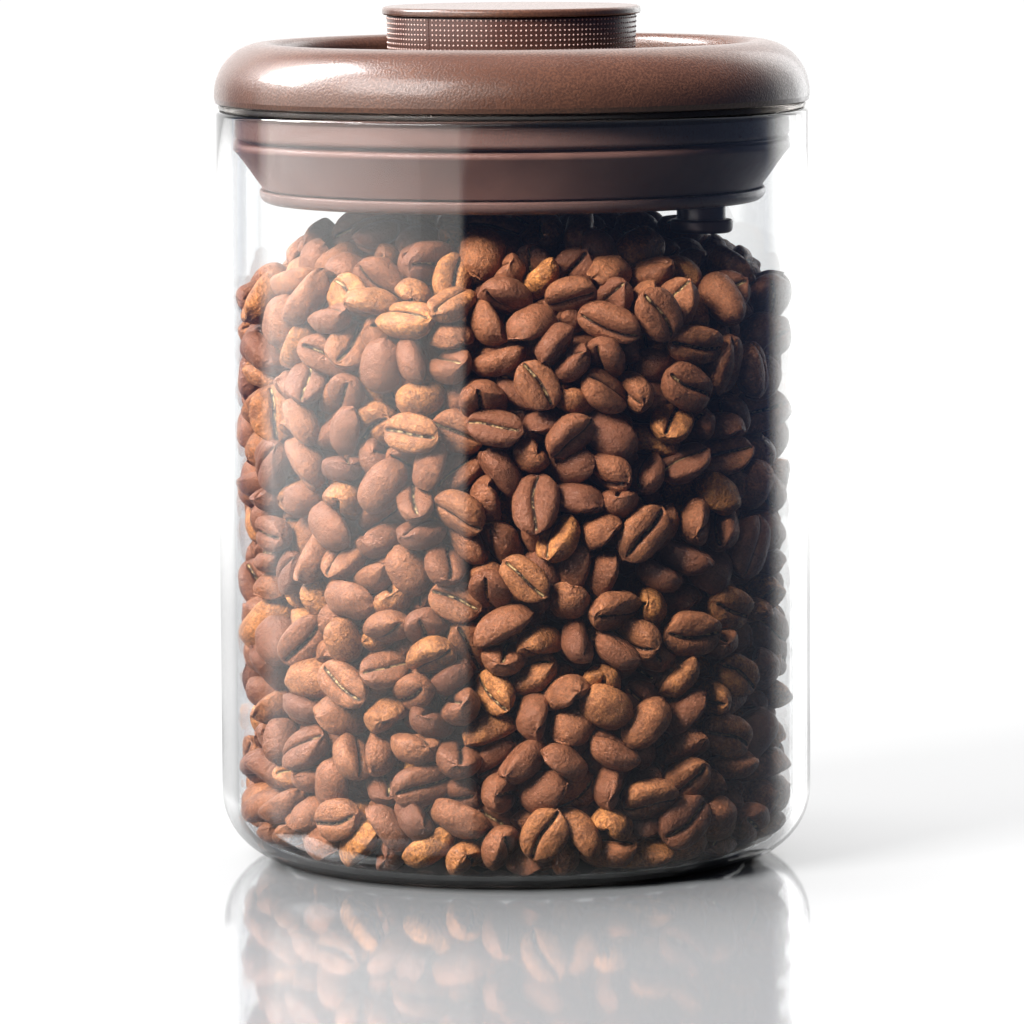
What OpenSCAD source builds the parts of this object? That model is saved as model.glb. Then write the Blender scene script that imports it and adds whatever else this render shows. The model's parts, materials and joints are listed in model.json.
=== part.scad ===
// Food canister: a straight glass jar closed by a moulded lid that holds a hand pump.
// Twisting the knob drives a piston through a helical cam, and the pump draws air out of the jar.
// A sprung button in the lid's recess opens a valve that lets the air back in.
// All sizes are in millimetres. +Z is up, -Y is the front, and z = 0 is the surface the jar stands on.
// The lid's own levels are measured from the top of the glass rim.

/* [Jar] */
// Outside diameter of the glass
jar_d = 120; // [118:1:126]
// Height of the glass, from its foot to its rim
jar_h = 152; // [110:1:200]
// Thickness of the glass wall
jar_wall = 3.2; // [3:0.1:3.4]
// Thickness of the glass base
jar_base = 2.5; // [2.5:0.5:6]
// Radius of the rounded outer edge of the base
foot_round = 13.7; // [8:0.1:16]

/* [Lid] */
// How far the lid reaches out past the glass
overhang = 0.2; // [0:0.1:1]
// Height of the lid's crest above the glass rim
crest_z = 13.5; // [13:0.1:15]
// Width of the lid's rounded ring, from its widest place to its crest
ring_w = 10.2; // [9:0.1:11]
// Wall thickness of the lid's cover
shell_t = 2; // [1.6:0.1:2.2]
// Height of the recess floor above the glass rim
recess_z = 5.8; // [5.8:0.1:6.2]

/* [Plug] */
// Depth of the plug's underside below the glass rim
plug_depth = 18.7; // [18.7:0.1:19.5]
// Thickness of the gasket between the glass rim and the lid
gasket_t = 1.25; // [1.1:0.05:1.4]

/* [Knob] */
// Diameter of the knob's rim
knob_d = 52.2; // [52:0.1:56]
// Height of the knob's top above the glass rim
knob_top = 20.6; // [20.6:0.1:24]

/* [Pump] */
// Diameter of the pump's bore
bore_d = 44; // [43:0.5:45]
// Piston stroke
stroke = 8; // [6:0.5:8]
// Knob turn that gives one full stroke, in degrees
twist = 120; // [100:5:140]

/* [Release valve] */
// Place of the valve to the right of the lid's centre
valve_x = 37.5; // [35:0.5:37.5]
// Place of the valve towards the back of the lid, so a negative value is towards the front
valve_y = -15; // [-15:0.5:-12]
// Diameter of the release button
button_d = 10; // [9:0.5:10.5]

/* [Hidden] */
$fn = 96;

// Colours
brown = [0.47, 0.31, 0.27];
dark_brown = [0.33, 0.22, 0.21];
clear_glass = [0.85, 0.92, 0.93, 0.35];
clear_silicone = [0.86, 0.84, 0.82, 0.7];
white_plastic = [0.9, 0.89, 0.86];
soft_grey = [0.5, 0.5, 0.5];
steel = [0.72, 0.73, 0.75];

// Clearances: a running fit, a part that is fitted once, and two parts that never touch
running = 0.08;
fitted = 0.02;
free_gap = 0.3;
// How far a cutter runs past the face it cuts
over = 1;

// Jar
jar_r = jar_d / 2;
jar_inner_r = jar_r - jar_wall;
rim_round = 0.8;
foot_inner_round = foot_round - jar_wall;

// Lid cover
lid_r = jar_r + overhang;
crest_r = lid_r - ring_w;
ring_z = 3;
ring_h = crest_z - ring_z;
skirt_z = gasket_t + 0.15;
crest_round = 2.5;
recess_r = crest_r - 3;
recess_round = 1.5;
deck_t = 1.6;
deck_under = recess_z - deck_t;
collar_r = 15;
collar_bore_r = 13.3;
collar_top = recess_z + 8;

// Knob clip and its grooves
clip_z = recess_z + 3.7;
clip_t = 1.2;
clip_groove_r = collar_r - 0.8;
clip_r = 16;
clip_gap_deg = 30;

// Plug carrier
ring_r = jar_inner_r - 0.4;
neck_r = jar_inner_r - 1;
flange_r = lid_r - shell_t - free_gap;
flange_t = 1.7;
ring_top = -1;
ring_bottom = -5.8;
carrier_r = jar_inner_r - 6.8;
carrier_t = 2.4;
cover_top = -plug_depth + 2.55;
web_bottom = cover_top + 0.05;
web_t = 2;
web_top = web_bottom + web_t;

// Seal with a nose that meets the glass
nose_r = 0.9;
nose_z = -7.2;
nose_reach = jar_inner_r - running;
groove_root_r = jar_inner_r - 2.2;
seal_bottom_r = jar_inner_r - 6;
seal_t = 1.5;

// Bottom cover
cover_r = jar_inner_r - 5.55;
cover_round = 2.05;
filter_r = 16.3;
grille_t = 0.8;
grille_slots = 12;

// Lid screws, on a circle inside the carrier
lid_screw_count = 4;
lid_screw_at = 20;
lid_screw_circle = 40;
lid_pilot_r = 1.1;
pillar_r = 3.8;
boss_r = 3.4;
pillar_top = -0.25;
screw_ledge = -4;
head_r = 2.4;
head_h = 1.8;

// Hooks that hold the bottom cover
hook_count = 3;
hook_at = 65;
hook_r = 43.6;
hook_t = 1.2;
hook_w = 5;
hook_nose = 1;

// Pump cylinder
bore_r = bore_d / 2;
cylinder_wall = 1.8;
cylinder_r = bore_r + cylinder_wall;
cylinder_top = 1.9;
floor_top = web_bottom + 1.75;
pump_flange_r = cylinder_r + 6.2;
pump_flange_t = 2;
pump_screw_circle = cylinder_r + 3.2;
small_screw_r = 1;
small_head_r = 2;
small_head_h = 1.3;
screw_count = 3;
o_ring_r = 0.7;

// Cylinder cap with its keyed collar
cap_t = 2.2;
tube_r = 10;
tube_bore_r = 7.8;
guide_bore_r = tube_r + 0.1;
guide_r = 13.1;
guide_top = 8;
key_r = 11.3;
key_w = 3;

// Piston at the bottom of its stroke
piston_top = -8;
piston_t = 5;
piston_bottom = piston_top - piston_t;
piston_r = bore_r - 0.4;
tube_top = 4;
tube_floor = -10;
seal_groove_r = bore_r - 2.4;
seal_groove_z = -11.6;
seal_groove_h = 2.3;
exhaust_at = 15.4;

// Umbrella valves: stem, dome and barb
intake_stem_r = 1.5;
intake_dome_r = 8;
intake_dome_t = 1.1;
intake_port_r = 1.4;
exhaust_stem_r = 0.97;
exhaust_dome_r = 3.4;
exhaust_dome_t = 0.9;
exhaust_port_r = 0.65;
dome_edge_t = 0.4;

// Cam: the pins' height at rest, and the groove that they follow
pin_r = 1.2;
pin_z = 1;
pin_inner = 5.9;
cam_r = 7.5;
cam_root_r = 5.5;
cam_bottom = -2;
groove_h = 3.4;
groove_run = 1.5;
groove_half_deg = groove_h / 2 * twist / stroke;
cam_top = collar_top + 1;
hex_r = 5.6;

// Knob
knob_r = knob_d / 2;
rim_t = 1.6;
skirt_bottom = recess_z + 1.1;
band_inner_r = knob_r - 2.1;
band_top_r = knob_r - 0.8;
band_bottom_r = knob_r - 1.1;
cap_skirt_t = 1.5;
cap_skirt_r = band_inner_r - 0.1;
hub_t = 2;
hub_r = cap_skirt_r - cap_skirt_t - 0.2;
hub_top = cam_top + hub_t;
hub_ring_r = 17.4;
hub_ring_bottom = recess_z + 0.8;
hub_screw_circle = 19.8;
hub_screw_at = 60;
hub_boss_r = 2.4;
top_plate_t = 2.2;
top_plate_z = knob_top - top_plate_t;
washer_t = 0.6;

// Release valve
nozzle_r = 4.85;
nozzle_bore_r = 3.5;
nozzle_h = 3.1;
nozzle_end = -plug_depth - nozzle_h;
disc_r = 6.2;
disc_t = 2.7;
stem_r = 1.6;
stem_in_disc = 1.8;
button_r = button_d / 2;
button_top = recess_z + 2.8;
button_bottom = deck_under - 1.8;
button_flange_r = button_r + 1.6;
button_flange_t = 1.4;
stem_top = button_top - 2.2;
guide_flange_r = 6;
guide_flange_t = 1.5;
barrel_r = 4;
barrel_top = web_top + 12;
spigot_r = 3.8;
spring_r = 5.3;
wire_r = 0.35;
spring_turns = 7;

// Points along a circular arc in a profile, from angle a0 to a1
function arc(cx, cz, r, a0, a1, n = 8) =
    [for (i = [0:n]) let (a = a0 + (a1 - a0) * i / n) [cx + r * cos(a), cz + r * sin(a)]];

// The same for an ellipse with half-widths a and b
function oval(cx, cz, a, b, a0, a1, n = 16) =
    [for (i = [0:n]) let (t = a0 + (a1 - a0) * i / n) [cx + a * cos(t), cz + b * sin(t)]];

// A solid turned about the Z axis from a closed profile of [radius, height] points
module turned(profile) {
    rotate_extrude() polygon(profile);
}

// A plain ring between two radii and two levels
module ring(r_in, r_out, z0, z1) {
    difference() {
        translate([0, 0, z0]) cylinder(r = r_out, h = z1 - z0);
        translate([0, 0, z0 - over]) cylinder(r = r_in, h = z1 - z0 + 2 * over);
    }
}

// A round rod between two levels
module rod(r, z0, z1) {
    translate([0, 0, z0]) cylinder(r = r, h = z1 - z0);
}

// Copies spread evenly round the Z axis at a radius
module around(count, radius, first = 0) {
    for (i = [0:count - 1]) rotate([0, 0, first + i * 360 / count]) translate([radius, 0, 0]) children();
}

// Moves what is drawn from the rim's level to its place on the jar
module at_rim() {
    translate([0, 0, jar_h]) children();
}

// Moves what is drawn from the lid's axis to the valve's axis
module at_valve() {
    translate([valve_x, valve_y, 0]) children();
}

// Copies at the screws that join the cover to the carrier
module at_lid_screws() {
    around(lid_screw_count, lid_screw_circle, lid_screw_at) children();
}

// Copies at the screws that hold the barrel
module at_pump_screws() {
    around(screw_count, pump_screw_circle) children();
}

// Copies at the screws that join the hub to the knob's cap
module at_hub_screws() {
    around(screw_count, hub_screw_circle, hub_screw_at) children();
}

// A pan-head screw whose head sits on level z: the shank runs to level tip, above or below
module screw(r_head, h_head, r_shank, z, tip) {
    up = tip > z;
    head_z0 = up ? z - h_head : z;
    socket_z0 = up ? head_z0 - over : head_z0 + h_head / 2;
    difference() {
        union() {
            rod(r_head, head_z0, head_z0 + h_head);
            rod(r_shank, min(z, tip), max(z, tip));
        }
        translate([0, 0, socket_z0]) cylinder(r = r_head * 0.5, h = h_head / 2 + over, $fn = 6);
    }
}

// Jar with a thick base, a round foot and a rounded rim
module glass_jar() {
    color(clear_glass) turned(concat(
        [[0, 0]],
        arc(jar_r - foot_round, foot_round, foot_round, -90, 0, 14),
        arc(jar_r - rim_round, jar_h - rim_round, rim_round, 0, 90, 5),
        arc(jar_inner_r + rim_round, jar_h - rim_round, rim_round, 90, 180, 5),
        arc(jar_inner_r - foot_inner_round, jar_base + foot_inner_round, foot_inner_round, 0, -90, 12),
        [[0, jar_base]]
    ));
}

// Flat ring that lies on the glass rim
module rim_gasket() {
    edge = gasket_t / 2;
    color(clear_silicone) at_rim() turned(concat(
        [[neck_r + 0.1, gasket_t], [neck_r + 0.1, 0]],
        arc(jar_r - 0.6 - edge, edge, edge, -90, 90, 8)
    ));
}

// Cover: fat outer ring, sunk deck and the collar that the knob turns on
module lid_shell() {
    color(brown) at_rim() difference() {
        union() {
            turned(concat(
                [[lid_r - shell_t, skirt_z], [lid_r - 0.2, skirt_z], [lid_r, skirt_z + 0.9]],
                oval(crest_r, ring_z, ring_w, ring_h, 0, 90, 20),
                arc(crest_r, crest_z - crest_round, crest_round, 90, 180),
                arc(recess_r - recess_round, recess_z + recess_round, recess_round, 0, -90),
                [
                    [collar_r, recess_z],
                    [collar_r, clip_z - 0.1],
                    [clip_groove_r, clip_z - 0.1],
                    [clip_groove_r, clip_z + clip_t + 0.1],
                    [collar_r, clip_z + clip_t + 0.1],
                    [collar_r, collar_top],
                    [collar_bore_r, collar_top],
                    [collar_bore_r, deck_under],
                    [recess_r + 1.8, deck_under]
                ],
                oval(crest_r, ring_z, ring_w - shell_t, ring_h - shell_t, 90, 0, 16)
            ));
            at_lid_screws() rod(boss_r, pillar_top + 0.05, recess_z - 0.4);
        }
        at_lid_screws() rod(lid_pilot_r, pillar_top - over, recess_z - 0.8);
        at_valve() rod(button_r + free_gap, deck_under - over, recess_z + over);
    }
}

// Carrier that hangs in the jar: flange, neck, guiding ring, wall and the web that holds the pump
module plug_body() {
    color(dark_brown) at_rim() difference() {
        union() {
            turned(concat(
                [
                    [flange_r, gasket_t + flange_t],
                    [flange_r, gasket_t],
                    [neck_r, gasket_t],
                    [neck_r, ring_top],
                    [ring_r, ring_top - 0.6]
                ],
                arc(ring_r - 1.2, ring_bottom + 1.2, 1.2, 0, -90, 6),
                [
                    [carrier_r, ring_bottom],
                    [carrier_r, web_bottom],
                    [cylinder_r + 0.4, web_bottom],
                    [cylinder_r + 0.4, web_bottom + 0.5],
                    [cylinder_r + 1.9, web_bottom + 0.5],
                    [cylinder_r + 1.9, web_top],
                    [carrier_r - carrier_t, web_top],
                    [carrier_r - carrier_t, ring_bottom - 0.7],
                    [ring_r - 3, ring_top - 2.5],
                    [ring_r - 3, gasket_t + flange_t]
                ]
            ));
            at_lid_screws() rod(pillar_r, web_top - 0.5, pillar_top);
        }
        at_lid_screws() {
            rod(head_r + 0.2, web_bottom - over, screw_ledge);
            rod(lid_pilot_r + 0.2, screw_ledge - over, pillar_top + over);
        }
        at_pump_screws() rod(small_screw_r + fitted, web_bottom - over, web_top + over);
        around(hook_count, hook_r - 0.3, hook_at)
            translate([0, -hook_w / 2 - free_gap, web_bottom - over])
                cube([hook_t + 0.7, hook_w + 2 * free_gap, web_t + 2 * over]);
        at_valve() rod(spigot_r + fitted, web_bottom - over, web_top + over);
    }
}

// Flexible seal: an upper flange with a round nose, and a tapered skirt below it
module main_seal() {
    inner = carrier_r + 0.05;
    top = ring_bottom - 0.05;
    bottom = cover_top + 0.35;
    color(dark_brown) at_rim() turned(concat(
        [[inner, top], [inner, top - 2.7], [nose_reach - 2.6, top - 2.7]],
        [[seal_bottom_r, bottom + seal_t], [inner, bottom + seal_t]],
        [[inner, bottom], [seal_bottom_r, bottom]],
        arc(nose_reach - nose_r, nose_z, nose_r, -36, 80, 8),
        [[groove_root_r, top - 0.35], [groove_root_r, top]]
    ));
}

// Bottom disc with the pump's inlet grille, the valve's nozzle and the hooks
module bottom_cover() {
    recess_floor = -plug_depth + grille_t;
    color(dark_brown) at_rim() difference() {
        union() {
            turned(concat(
                [[0, recess_floor], [0, -plug_depth]],
                arc(cover_r - cover_round, -plug_depth + cover_round, cover_round, -90, 0, 8),
                arc(cover_r - 0.4, cover_top - 0.4, 0.4, 0, 90, 4),
                [[filter_r + 0.1, cover_top], [filter_r + 0.1, recess_floor]]
            ));
            at_valve() rod(nozzle_r, nozzle_end, -plug_depth + 0.5);
            around(hook_count, hook_r, hook_at) {
                translate([0, -hook_w / 2, cover_top - 0.5])
                    cube([hook_t, hook_w, web_top + 0.1 + hook_nose - cover_top + 0.5]);
                translate([0, -hook_w / 2, web_top + 0.1]) cube([hook_t + hook_nose, hook_w, hook_nose]);
            }
        }
        at_valve() rod(nozzle_bore_r, nozzle_end - over, cover_top + over);
        for (i = [0:grille_slots - 1]) rotate([0, 0, i * 360 / grille_slots])
            translate([4.5, -0.8, -plug_depth - over]) cube([9.5, 1.6, grille_t + 2 * over]);
    }
}

// Fine disc over the inlet grille
module intake_filter() {
    color(soft_grey) at_rim() rod(filter_r, -plug_depth + grille_t + 0.05, -plug_depth + grille_t + 0.55);
}

// Barrel of the pump, with inlet ports in its floor
module pump_cylinder() {
    color(white_plastic) at_rim() difference() {
        turned([
            [0, web_bottom],
            [cylinder_r, web_bottom],
            [cylinder_r, web_top],
            [pump_flange_r, web_top],
            [pump_flange_r, web_top + pump_flange_t],
            [cylinder_r, web_top + pump_flange_t],
            [cylinder_r, cylinder_top],
            [bore_r, cylinder_top],
            [bore_r, floor_top],
            [0, floor_top]
        ]);
        rod(intake_stem_r + 0.05, web_bottom - over, floor_top + over);
        around(6, 5) rod(intake_port_r, web_bottom - over, floor_top + over);
        at_pump_screws() rod(small_screw_r + 0.1, web_top - over, web_top + pump_flange_t + over);
    }
}

// O-ring in the step of the carrier's web
module cylinder_gasket() {
    color(soft_grey) at_rim() translate([0, 0, web_top - o_ring_r - 0.05])
        rotate_extrude() translate([cylinder_r + 1.15, 0]) circle(r = o_ring_r, $fn = 32);
}

// Screws that hold the barrel on the web
module cylinder_screws() {
    seat = web_top + pump_flange_t;
    color(steel) at_rim() at_pump_screws()
        screw(small_head_r, small_head_h, small_screw_r, seat, web_bottom + 0.3);
}

// Umbrella valve that lets jar air into the barrel
module intake_valve() {
    color(soft_grey) at_rim() turned([
        [0, floor_top + intake_dome_t],
        [intake_stem_r, floor_top + intake_dome_t],
        [intake_dome_r, floor_top + dome_edge_t],
        [intake_dome_r, floor_top],
        [intake_stem_r, floor_top],
        [intake_stem_r, web_bottom],
        [intake_stem_r + 0.5, web_bottom],
        [intake_stem_r - 0.3, web_bottom - 0.9],
        [0, web_bottom - 0.9]
    ]);
}

// Cover of the barrel; its collar has two keyways that stop the piston from turning
module cylinder_cap() {
    color(white_plastic) at_rim() difference() {
        union() {
            rod(cylinder_r, cylinder_top, cylinder_top + cap_t);
            rod(guide_r, cylinder_top, guide_top);
        }
        rod(guide_bore_r, cylinder_top - over, guide_top + over);
        translate([-key_w / 2 - 0.2, -key_r - free_gap, cylinder_top - over])
            cube([key_w + 0.4, 2 * (key_r + free_gap), guide_top - cylinder_top + 2 * over]);
        around(6, 18, 30) rod(1.5, cylinder_top - over, cylinder_top + cap_t + over);
    }
}

// Screws that pull the cover down on the carrier
module lid_screws() {
    color(steel) at_rim() at_lid_screws()
        screw(head_r, head_h, lid_pilot_r - fitted, screw_ledge, recess_z - 1);
}

// Thrust washer under the knob's hub
module knob_washer() {
    color(white_plastic) at_rim() ring(collar_r + free_gap, 21.5, recess_z, recess_z + washer_t);
}

// Open snap ring in the collar's groove that keeps the knob down
module knob_clip() {
    color(steel) at_rim() rotate_extrude(angle = 360 - clip_gap_deg)
        translate([clip_groove_r + 0.1, clip_z]) square([clip_r - clip_groove_r - 0.1, clip_t]);
}

// Top and skirt of the knob
module knob_cap() {
    rim = rim_t / 2;
    color(brown) at_rim() difference() {
        union() {
            turned(concat(
                [[0, top_plate_z], [0, knob_top]],
                arc(knob_r - rim, knob_top - rim, rim, 90, -90, 10),
                [
                    [cap_skirt_r, knob_top - rim_t],
                    [cap_skirt_r, skirt_bottom],
                    [cap_skirt_r - cap_skirt_t, skirt_bottom],
                    [cap_skirt_r - cap_skirt_t, top_plate_z]
                ]
            ));
            at_hub_screws() rod(hub_boss_r, hub_top + 0.05, top_plate_z + 0.5);
        }
        at_hub_screws() rod(small_screw_r + fitted, hub_top - over, knob_top - 1);
    }
}

// Slightly tapered sleeve round the knob's skirt
module grip_band() {
    top = knob_top - rim_t - 0.1;
    color(brown) at_rim() difference() {
        translate([0, 0, skirt_bottom]) cylinder(r1 = band_bottom_r, r2 = band_top_r, h = top - skirt_bottom);
        rod(band_inner_r, skirt_bottom - over, top + over);
    }
}

// Hub that turns on the lid's collar and carries the cap and the cam
module knob_hub() {
    color(white_plastic) at_rim() difference() {
        union() {
            rod(hub_r, cam_top, hub_top);
            ring(collar_r + running, hub_ring_r, hub_ring_bottom, cam_top);
        }
        ring(collar_r - over, clip_r + 0.2, clip_z - 0.2, clip_z + clip_t + 0.2);
        translate([0, 0, cam_top - over]) cylinder(r = hex_r + 0.1, h = hub_t + 2 * over, $fn = 6);
        at_hub_screws() rod(small_screw_r + 0.1, cam_top - over, hub_top + over);
    }
}

// Screws between the hub and the cap
module hub_screws() {
    color(steel) at_rim() at_hub_screws()
        screw(small_head_r, small_head_h, small_screw_r, cam_top, knob_top - 1.1);
}

// Slice of the shaft that a groove takes away
module groove_slice() {
    polygon(concat(
        arc(0, 0, cam_root_r, -groove_half_deg, groove_half_deg, 4),
        arc(0, 0, cam_r + over, groove_half_deg, -groove_half_deg, 4)
    ));
}

// Shaft with two helical grooves: a full twist of the knob lifts the pins by one stroke
module cam_shaft() {
    length = stroke + 2 * groove_run;
    deg_per_mm = twist / stroke;
    color(white_plastic) at_rim() difference() {
        union() {
            rod(cam_r, cam_bottom, cam_top);
            translate([0, 0, cam_top]) cylinder(r = hex_r, h = hub_t - 0.05, $fn = 6);
        }
        rod(1.3, recess_z, hub_top + over);
        around(2, 0) rotate([0, 0, groove_run * deg_per_mm]) translate([0, 0, pin_z - groove_run])
            linear_extrude(height = length, twist = length * deg_per_mm, slices = 22, $fn = 16)
                groove_slice();
    }
}

// Screw that holds the cam shaft in the hub
module shaft_screw() {
    color(steel) at_rim() screw(4.5, 1.3, 1.27, hub_top, recess_z + 1);
}

// Piston disc with its keyed tube
module piston() {
    color(white_plastic) at_rim() difference() {
        union() {
            turned([
                [0, piston_bottom + 1.6],
                [9.5, piston_bottom + 1.6],
                [9.5, piston_bottom],
                [piston_r, piston_bottom],
                [piston_r, seal_groove_z],
                [seal_groove_r, seal_groove_z],
                [seal_groove_r, seal_groove_z + seal_groove_h],
                [piston_r, seal_groove_z + seal_groove_h],
                [piston_r, piston_top],
                [tube_r, piston_top],
                [tube_r, tube_top],
                [tube_bore_r, tube_top],
                [tube_bore_r, tube_floor],
                [0, tube_floor]
            ]);
            around(2, tube_r - 0.8, 90) translate([0, -key_w / 2, piston_top - 0.5])
                cube([key_r - tube_r + 0.8, key_w, tube_top - piston_top + 0.5]);
        }
        translate([0, 0, pin_z]) rotate([0, 90, 0])
            cylinder(r = pin_r + fitted, h = 3 * tube_r, center = true);
        around(2, exhaust_at) {
            rod(exhaust_stem_r + 0.03, piston_bottom - over, piston_top + over);
            around(4, 2.1, 45) rod(exhaust_port_r, piston_bottom - over, piston_top + over);
        }
    }
}

// Ring in the piston's groove
module piston_seal() {
    half = (seal_groove_h - 0.2) / 2;
    color(soft_grey) at_rim() turned(concat(
        [[seal_groove_r + 0.05, seal_groove_z + 0.1 + 2 * half], [seal_groove_r + 0.05, seal_groove_z + 0.1]],
        arc(bore_r - 0.06 - half, seal_groove_z + 0.1 + half, half, -90, 90, 8)
    ));
}

// Umbrella valves that let the barrel's air out through the piston
module exhaust_valves() {
    color(soft_grey) at_rim() around(2, exhaust_at) turned([
        [0, piston_top + exhaust_dome_t],
        [exhaust_stem_r, piston_top + exhaust_dome_t],
        [exhaust_dome_r, piston_top + dome_edge_t],
        [exhaust_dome_r, piston_top],
        [exhaust_stem_r, piston_top],
        [exhaust_stem_r, piston_bottom],
        [exhaust_stem_r + 0.4, piston_bottom],
        [exhaust_stem_r, piston_bottom - 0.6],
        [0, piston_bottom - 0.6]
    ]);
}

// Pins in the piston's tube that run in the cam's grooves
module follower_pins() {
    color(steel) at_rim() around(2, pin_inner) translate([0, 0, pin_z])
        rotate([0, 90, 0]) cylinder(r = pin_r, h = tube_r - 0.1 - pin_inner);
}

// Button in the lid's recess
module release_button() {
    edge = 0.8;
    color(brown) at_rim() at_valve() turned(concat(
        [
            [0, stem_top + 0.1],
            [stem_r + fitted, stem_top + 0.1],
            [stem_r + fitted, button_bottom],
            [button_flange_r, button_bottom],
            [button_flange_r, button_bottom + button_flange_t],
            [button_r, button_bottom + button_flange_t]
        ],
        arc(button_r - edge, button_top - edge, edge, 0, 90, 5),
        [[0, button_top]]
    ));
}

// Rod from the button down to the valve disc
module release_stem() {
    color(steel) at_rim() at_valve() rod(stem_r, nozzle_end - stem_in_disc, stem_top);
}

// Soft disc that closes the nozzle from below
module release_valve() {
    edge = 1;
    bottom = nozzle_end - disc_t;
    color(dark_brown) at_rim() at_valve() turned(concat(
        [[0, bottom]],
        arc(disc_r - edge, bottom + edge, edge, -90, 0, 6),
        arc(disc_r - 0.6, nozzle_end - 0.6, 0.6, 0, 90, 5),
        [
            [stem_r + fitted, nozzle_end],
            [stem_r + fitted, nozzle_end - stem_in_disc - 0.05],
            [0, nozzle_end - stem_in_disc - 0.05]
        ]
    ));
}

// Bush that guides the stem, with three air passages beside its bore
module release_guide() {
    color(white_plastic) at_rim() at_valve() difference() {
        union() {
            rod(spigot_r, web_bottom + 0.1, web_top);
            rod(guide_flange_r, web_top, web_top + guide_flange_t);
            rod(barrel_r, web_top + guide_flange_t, barrel_top);
        }
        rod(stem_r + running, web_bottom - over, barrel_top + over);
        around(3, 2.7) rod(0.7, web_bottom - over, barrel_top + over);
    }
}

// Coil spring between the guide's flange and the button, swept as an eight-sided wire
module release_spring() {
    z0 = web_top + guide_flange_t + wire_r + 0.05;
    z1 = button_bottom - wire_r - 0.05;
    sides = 8;
    rings = spring_turns * 16;
    points = [
        for (i = [0:rings], k = [0:sides - 1])
        let (a = 360 * spring_turns * i / rings, b = 360 * k / sides, r = spring_r + wire_r * cos(b))
        [r * cos(a), r * sin(a), z0 + (z1 - z0) * i / rings + wire_r * sin(b)]
    ];
    walls = [
        for (i = [0:rings - 1], k = [0:sides - 1])
        let (n = (k + 1) % sides, low = i * sides, high = low + sides)
        [low + k, low + n, high + n, high + k]
    ];
    first_end = [for (k = [sides - 1:-1:0]) k];
    last_end = [for (k = [0:sides - 1]) rings * sides + k];
    color(steel) at_rim() at_valve() polyhedron(points, concat([first_end], walls, [last_end]));
}

glass_jar();
rim_gasket();
lid_shell();
plug_body();
main_seal();
bottom_cover();
intake_filter();
intake_valve();
pump_cylinder();
cylinder_gasket();
cylinder_screws();
cylinder_cap();
lid_screws();
knob_washer();
knob_clip();
knob_cap();
grip_band();
knob_hub();
hub_screws();
cam_shaft();
shaft_screw();
piston();
piston_seal();
exhaust_valves();
follower_pins();
release_button();
release_stem();
release_valve();
release_guide();
release_spring();
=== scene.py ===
"""Food canister: the looks of a glass jar and its moulded pump lid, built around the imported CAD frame.

The object's sizes are in millimetres, as in the CAD source, and become metres where a mesh is made. The
floor, the lamps and the camera are in metres. +Z is up and -Y is the front. The lid's levels count from
the glass rim, as they do in the CAD source.
"""

import json
import math

import bmesh
import bpy
import numpy as np
from mathutils import Matrix, Vector


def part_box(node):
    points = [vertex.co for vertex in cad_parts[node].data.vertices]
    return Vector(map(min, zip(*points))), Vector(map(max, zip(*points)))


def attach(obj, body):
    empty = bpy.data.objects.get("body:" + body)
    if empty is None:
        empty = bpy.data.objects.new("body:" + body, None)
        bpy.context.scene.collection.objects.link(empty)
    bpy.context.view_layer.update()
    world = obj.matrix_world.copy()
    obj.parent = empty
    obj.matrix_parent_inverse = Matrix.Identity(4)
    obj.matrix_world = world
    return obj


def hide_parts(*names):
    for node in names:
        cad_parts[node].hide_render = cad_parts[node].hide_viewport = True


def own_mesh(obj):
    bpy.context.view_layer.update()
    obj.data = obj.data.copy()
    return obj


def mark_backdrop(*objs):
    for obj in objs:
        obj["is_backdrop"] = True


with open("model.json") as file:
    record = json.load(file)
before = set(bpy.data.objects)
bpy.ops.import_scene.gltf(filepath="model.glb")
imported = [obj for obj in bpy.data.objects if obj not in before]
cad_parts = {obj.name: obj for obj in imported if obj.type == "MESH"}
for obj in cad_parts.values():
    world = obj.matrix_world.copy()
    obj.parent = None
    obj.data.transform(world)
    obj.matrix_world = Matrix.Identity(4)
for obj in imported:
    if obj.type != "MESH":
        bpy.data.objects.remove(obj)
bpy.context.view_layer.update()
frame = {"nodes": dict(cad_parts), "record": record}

MM = 0.001

# ---------------------------------------------------------------- sizes, in millimetres

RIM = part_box("glass_jar")[1].z / MM
JAR_R = 60.0
JAR_WALL = 3.2
JAR_INNER_R = JAR_R - JAR_WALL
JAR_BASE = 2.5
FOOT_ROUND = 13.7
FOOT_INNER_ROUND = FOOT_ROUND - JAR_WALL
FOOT_CORNER_R = JAR_INNER_R - FOOT_INNER_ROUND
FOOT_CORNER_Z = JAR_BASE + FOOT_INNER_ROUND

LID_R = 60.2
CREST_R = 50.0
CREST_Z = 13.5
RING_Z = 3.0
SKIRT_Z = 1.4
SHELL_T = 2.0
RECESS_R = 47.0
RECESS_Z = 5.8
DECK_Z = 4.2
COLLAR_R = 15.0
COLLAR_BORE_R = 13.3
COLLAR_TOP = 13.8

VALVE_AT = (37.5, -15.0)
BUTTON_R = 5.0
BUTTON_TOP = 8.6
STEM_R = 1.62

KNOB_R = 26.1
KNOB_TOP = 20.6
KNOB_RIM_T = 1.6
KNOB_SKIRT_R = 23.9
KNOB_SKIRT_Z = 6.9
BAND_R_LOW = 25.0
BAND_R_HIGH = 25.3
BAND_TOP = 18.9

ROUND_STEPS = 256


# ---------------------------------------------------------------- outlines

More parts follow.
